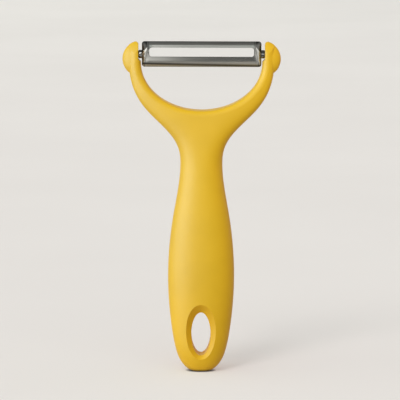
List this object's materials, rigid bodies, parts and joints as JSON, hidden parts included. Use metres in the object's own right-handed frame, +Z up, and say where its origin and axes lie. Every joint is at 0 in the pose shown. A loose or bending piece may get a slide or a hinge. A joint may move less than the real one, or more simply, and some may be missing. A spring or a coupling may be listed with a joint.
{
  "type": "vegetable peeler",
  "caption": "Fork-shaped vegetable peeler: moulded grip with a hang hole, and a slotted steel blade swivelling on pins between the arms.",
  "frame": {"origin": "centre of the small flat foot under the grip", "axes": "+Z up the handle to the blade, +X along the blade and its pivot axis, -Y to the front where the blade's raised middle faces"},
  "size_m": [0.0749, 0.02, 0.1578],
  "materials": {
    "handle_plastic": "satin moulded yellow plastic",
    "blade_steel": "pressed and ground stainless sheet",
    "pin_steel": "turned stainless steel"
  },
  "bodies": {
    "handle_body": {"handle": "handle_plastic"},
    "blade_body": {"blade": "blade_steel", "left_pivot_pin": "pin_steel", "right_pivot_pin": "pin_steel"}
  },
  "joints": [
    {"name": "blade_swivel", "type": "hinge", "parent": "handle_body", "child": "blade_body", "pos_m": [0, 0, 0.1516], "axis": [1, 0, 0], "continuous": true}
  ]
}
